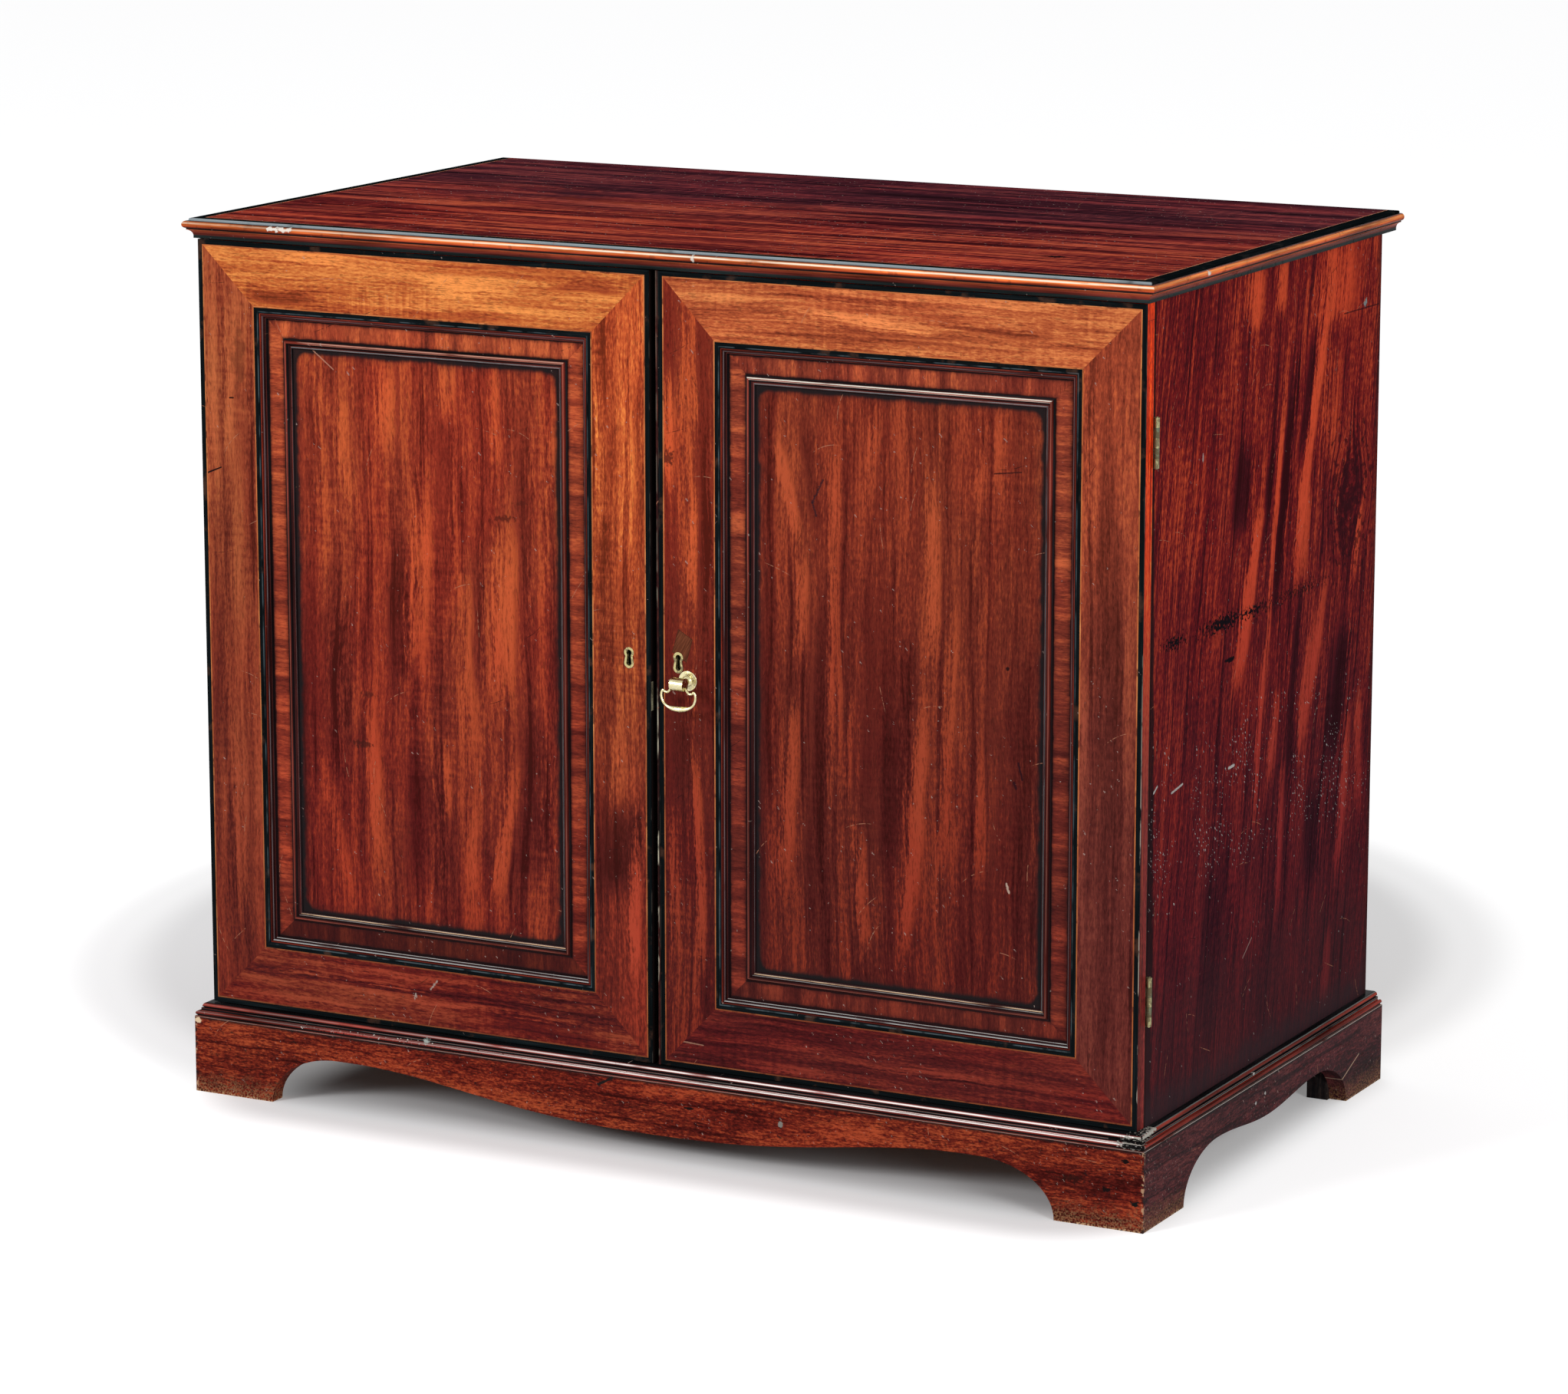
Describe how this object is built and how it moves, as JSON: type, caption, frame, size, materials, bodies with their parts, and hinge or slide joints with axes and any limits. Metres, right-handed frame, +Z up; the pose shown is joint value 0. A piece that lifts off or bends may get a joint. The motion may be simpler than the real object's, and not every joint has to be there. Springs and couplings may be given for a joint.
{
  "type": "side cabinet",
  "caption": "Mahogany side cabinet with a pair of ebony and boxwood inlaid doors, moulded top, bracket plinth, brass hinges, lock, bolts and drop handle.",
  "frame": {"origin": "on the floor, at the centre of the whole outline", "axes": "+X to the right seen from the front, along the width; +Y to the back; +Z up"},
  "size_m": [1.0346, 0.6188, 0.876],
  "materials": {
    "carcase_mahogany": "old polish, dark red with lighter streaks",
    "top_mahogany": "old polish, dark red",
    "frame_veneer": "polished figured veneer",
    "panel_veneer": "polished figured veneer",
    "moulding_mahogany": "polished mouldings",
    "crossbanding": "polished veneer laid across",
    "plinth_mahogany": "worn polish",
    "ebony": "polished black",
    "boxwood": "polished pale line",
    "pine": "bare, aged",
    "stained_block": "rough, stained nearly black",
    "brass": "polished, lightly tarnished"
  },
  "bodies": {
    "carcase": {"left_side": "carcase_mahogany", "right_side": "carcase_mahogany", "bottom_board": "pine", "top_front_rail": "pine", "top_back_rail": "pine", "backboards": "pine", "shelf": "pine", "shelf_bearers": "pine", "top_board": "top_mahogany", "top_ebony_band": "ebony", "top_boxwood_line": "boxwood", "top_edge_moulding": "moulding_mahogany", "under_moulding": "moulding_mahogany", "base_moulding": "moulding_mahogany", "plinth_front": "plinth_mahogany", "plinth_left": "plinth_mahogany", "plinth_right": "plinth_mahogany", "plinth_back": "pine", "foot_blocks": "stained_block", "hinge_carcase_leaves": "brass", "hinge_pins": "brass", "hinge_carcase_screws": "brass"},
    "left_door": {"left_hinge_stile": "frame_veneer", "left_meeting_stile": "frame_veneer", "left_top_rail": "frame_veneer", "left_bottom_rail": "frame_veneer", "left_ebony_edging": "ebony", "left_boxwood_lines": "boxwood", "left_ebony_bevel": "ebony", "left_sunk_moulding": "moulding_mahogany", "left_crossband": "crossbanding", "left_panel_moulding": "moulding_mahogany", "left_panel": "panel_veneer", "left_hinge_leaves": "brass", "left_hinge_screws": "brass", "left_escutcheon": "brass", "strike_plate": "brass", "bolt_plates": "brass"},
    "right_door": {"right_hinge_stile": "frame_veneer", "right_meeting_stile": "frame_veneer", "right_top_rail": "frame_veneer", "right_bottom_rail": "frame_veneer", "right_ebony_edging": "ebony", "right_boxwood_lines": "boxwood", "right_ebony_bevel": "ebony", "right_sunk_moulding": "moulding_mahogany", "right_crossband": "crossbanding", "right_panel_moulding": "moulding_mahogany", "right_panel": "panel_veneer", "right_hinge_leaves": "brass", "right_hinge_screws": "brass", "right_escutcheon": "brass", "right_meeting_bead": "moulding_mahogany", "lock_case": "brass", "handle_mount": "brass", "handle_nut": "brass"},
    "lock_bolt": {"lock_bolt": "brass"},
    "upper_bolt": {"upper_bolt": "brass"},
    "lower_bolt": {"lower_bolt": "brass"},
    "handle_bail": {"handle_bail": "brass"}
  },
  "joints": [
    {"name": "left_door_hinge", "type": "hinge", "parent": "carcase", "child": "left_door", "pos_m": [-0.50595, -0.26623, 0.4733], "axis": [0, 0, -1], "range_deg": [0, 180]},
    {"name": "right_door_hinge", "type": "hinge", "parent": "carcase", "child": "right_door", "pos_m": [0.50595, -0.26623, 0.4733], "axis": [0, 0, 1], "range_deg": [0, 180]},
    {"name": "handle_bail_swing", "type": "hinge", "parent": "right_door", "child": "handle_bail", "pos_m": [0.0369, -0.30318, 0.4655], "axis": [-1, 0, 0], "range_deg": [-35, 130]},
    {"name": "lock_bolt_slide", "type": "slide", "parent": "right_door", "child": "lock_bolt", "axis": [-1, 0, 0], "range_m": [0, 0.012]},
    {"name": "upper_bolt_slide", "type": "slide", "parent": "left_door", "child": "upper_bolt", "axis": [0, 0, 1], "range_m": [0, 0.016]},
    {"name": "lower_bolt_slide", "type": "slide", "parent": "left_door", "child": "lower_bolt", "axis": [0, 0, -1], "range_m": [0, 0.016]}
  ]
}
